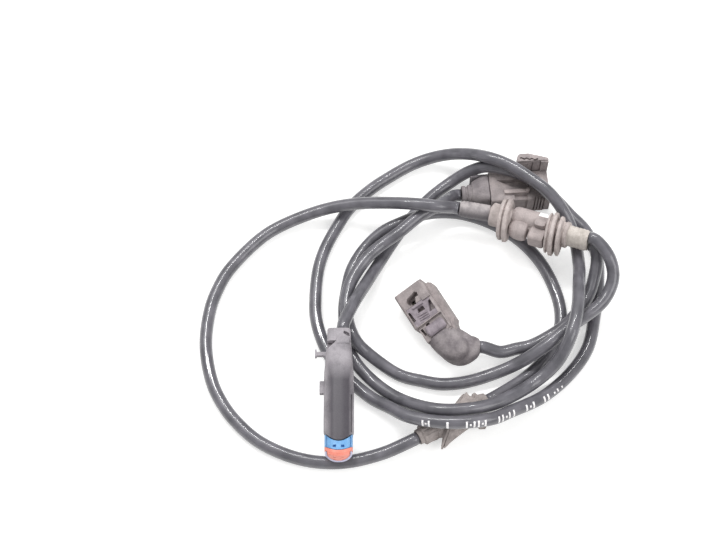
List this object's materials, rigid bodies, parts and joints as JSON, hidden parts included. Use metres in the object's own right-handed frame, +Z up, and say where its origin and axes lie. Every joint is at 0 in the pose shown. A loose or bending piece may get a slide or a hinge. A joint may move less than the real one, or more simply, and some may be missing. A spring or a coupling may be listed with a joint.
{
  "type": "brake pad wear sensor",
  "caption": "Coiled sensor lead: a sealed plug feeds a long cable through an oblique bulkhead grommet to a splitter, whose branches end in two sockets.",
  "frame": {"origin": "on the floor, below the middle of the box round all pieces but the four cables", "axes": "+X to the right and +Y away from the viewer in the picture, +Z up from the floor the coiled lead lies on"},
  "size_m": [0.1704, 0.1447, 0.0268],
  "materials": {
    "black_jacket": "smooth black jacket with a soft gloss",
    "glass_filled_nylon": "moulded dark grey, dusty",
    "dusty_rubber": "black rubber greyed by dust",
    "shrink_sleeve": "matt shrink sleeve, beige with dust",
    "blue_nylon": "moulded light blue",
    "orange_silicone": "orange-red silicone",
    "lilac_nylon": "moulded pale blue-grey",
    "tinned_brass": "tinned contact"
  },
  "bodies": {
    "root": {"branch_sleeve": "shrink_sleeve", "bulkhead_grommet": "dusty_rubber", "cable_grommet_to_splitter": "black_jacket", "cable_plug_to_grommet": "black_jacket", "cable_to_wear_socket": "black_jacket", "cable_to_wheel_socket": "black_jacket", "entry_sleeve": "shrink_sleeve", "plug_collar": "glass_filled_nylon", "plug_contact_1": "tinned_brass", "plug_contact_2": "tinned_brass", "plug_contact_3": "tinned_brass", "plug_contact_4": "tinned_brass", "plug_housing": "glass_filled_nylon", "plug_lock": "blue_nylon", "plug_nose": "lilac_nylon", "plug_seal": "orange_silicone", "splitter_body": "glass_filled_nylon", "splitter_entry_grommet": "dusty_rubber", "splitter_exit_grommet": "dusty_rubber", "wear_clip_holder": "glass_filled_nylon", "wear_socket_boot": "dusty_rubber", "wear_socket_contact_1": "tinned_brass", "wear_socket_contact_2": "tinned_brass", "wear_socket_housing": "glass_filled_nylon", "wear_socket_latch": "glass_filled_nylon", "wear_socket_shield": "glass_filled_nylon", "wheel_socket_boot": "dusty_rubber", "wheel_socket_contact_1": "tinned_brass", "wheel_socket_contact_2": "tinned_brass", "wheel_socket_housing": "glass_filled_nylon", "wheel_socket_latch": "glass_filled_nylon", "wheel_socket_lock": "glass_filled_nylon"}
  },
  "joints": []
}
